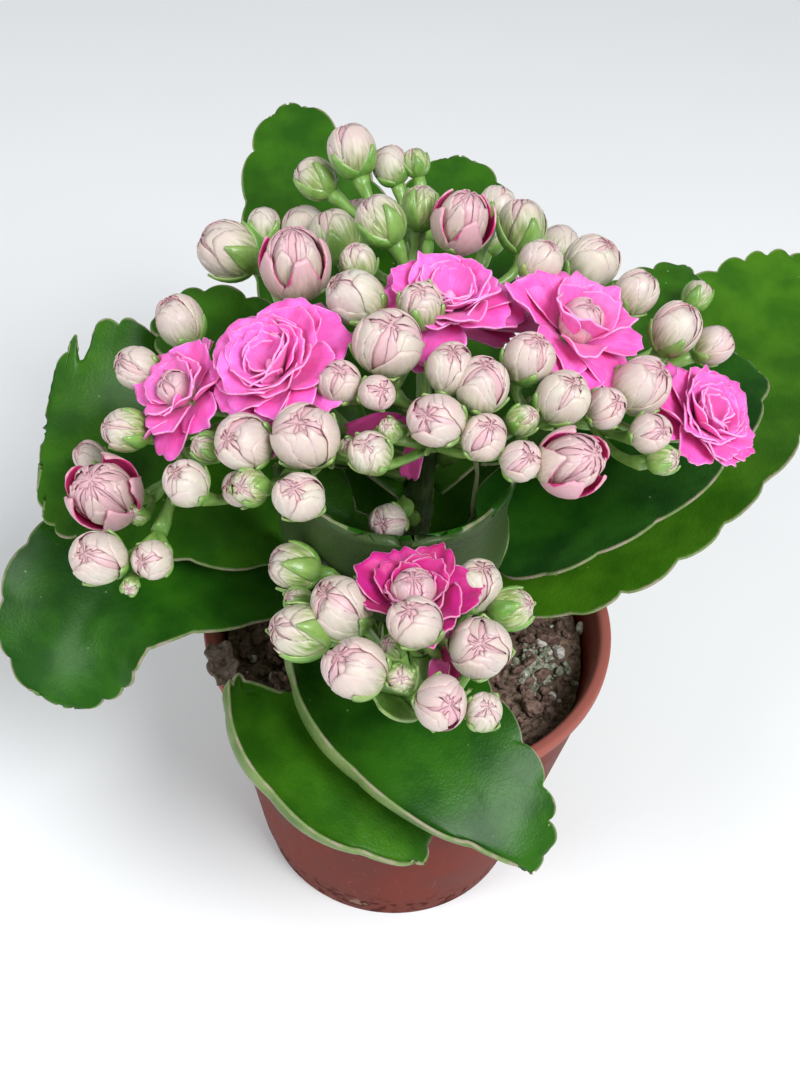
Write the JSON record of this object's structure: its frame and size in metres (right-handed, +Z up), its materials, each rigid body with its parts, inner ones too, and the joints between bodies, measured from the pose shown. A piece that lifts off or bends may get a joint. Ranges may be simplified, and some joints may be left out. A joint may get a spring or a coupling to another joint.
{
  "type": "potted kalanchoe",
  "caption": "Double-flowered kalanchoe with crenate fleshy leaves and branching heads of buds and blooms, in a round tapered nursery pot.",
  "frame": {"origin": "middle of the flat underside of the pot, on the surface that the pot stands on", "axes": "+Z up along the pot's axis, +X to the right and -Y towards the side seen in the picture"},
  "size_m": [0.1831, 0.1716, 0.1678],
  "materials": {
    "pot_plastic": "satin terracotta-coloured moulded plastic, scuffed",
    "potting_soil": "damp crumbly potting mix with bark and pale grit",
    "stem": "fleshy green stem, slightly waxy",
    "leaf": "thick glossy green leaf with a pale thin margin",
    "open_petals": "soft pink petals with paler toothed edges",
    "buds": "cream buds blushed pink, green sepals and flower stalks"
  },
  "bodies": {
    "root": {"pot": "pot_plastic", "soil": "potting_soil", "main_stem": "stem", "leaf_front_low": "leaf", "leaf_front_high": "leaf", "leaf_front_cup": "leaf", "leaf_left_low": "leaf", "leaf_left_high": "leaf", "leaf_left_top": "leaf", "leaf_right_low": "leaf", "leaf_right_high": "leaf", "leaf_right_top": "leaf", "leaf_back_left": "leaf", "leaf_back_right": "leaf", "leaf_back_low_left": "leaf", "leaf_back_low_right": "leaf", "bloom_back": "open_petals", "bloom_left": "open_petals", "bloom_left_outer": "open_petals", "bloom_right": "open_petals", "bloom_right_outer": "open_petals", "bloom_front": "open_petals", "cyme_back": "buds", "cyme_left": "buds", "cyme_middle": "buds", "cyme_right": "buds", "cyme_inner": "buds", "cyme_left_low": "buds", "cyme_front": "buds"}
  },
  "joints": []
}
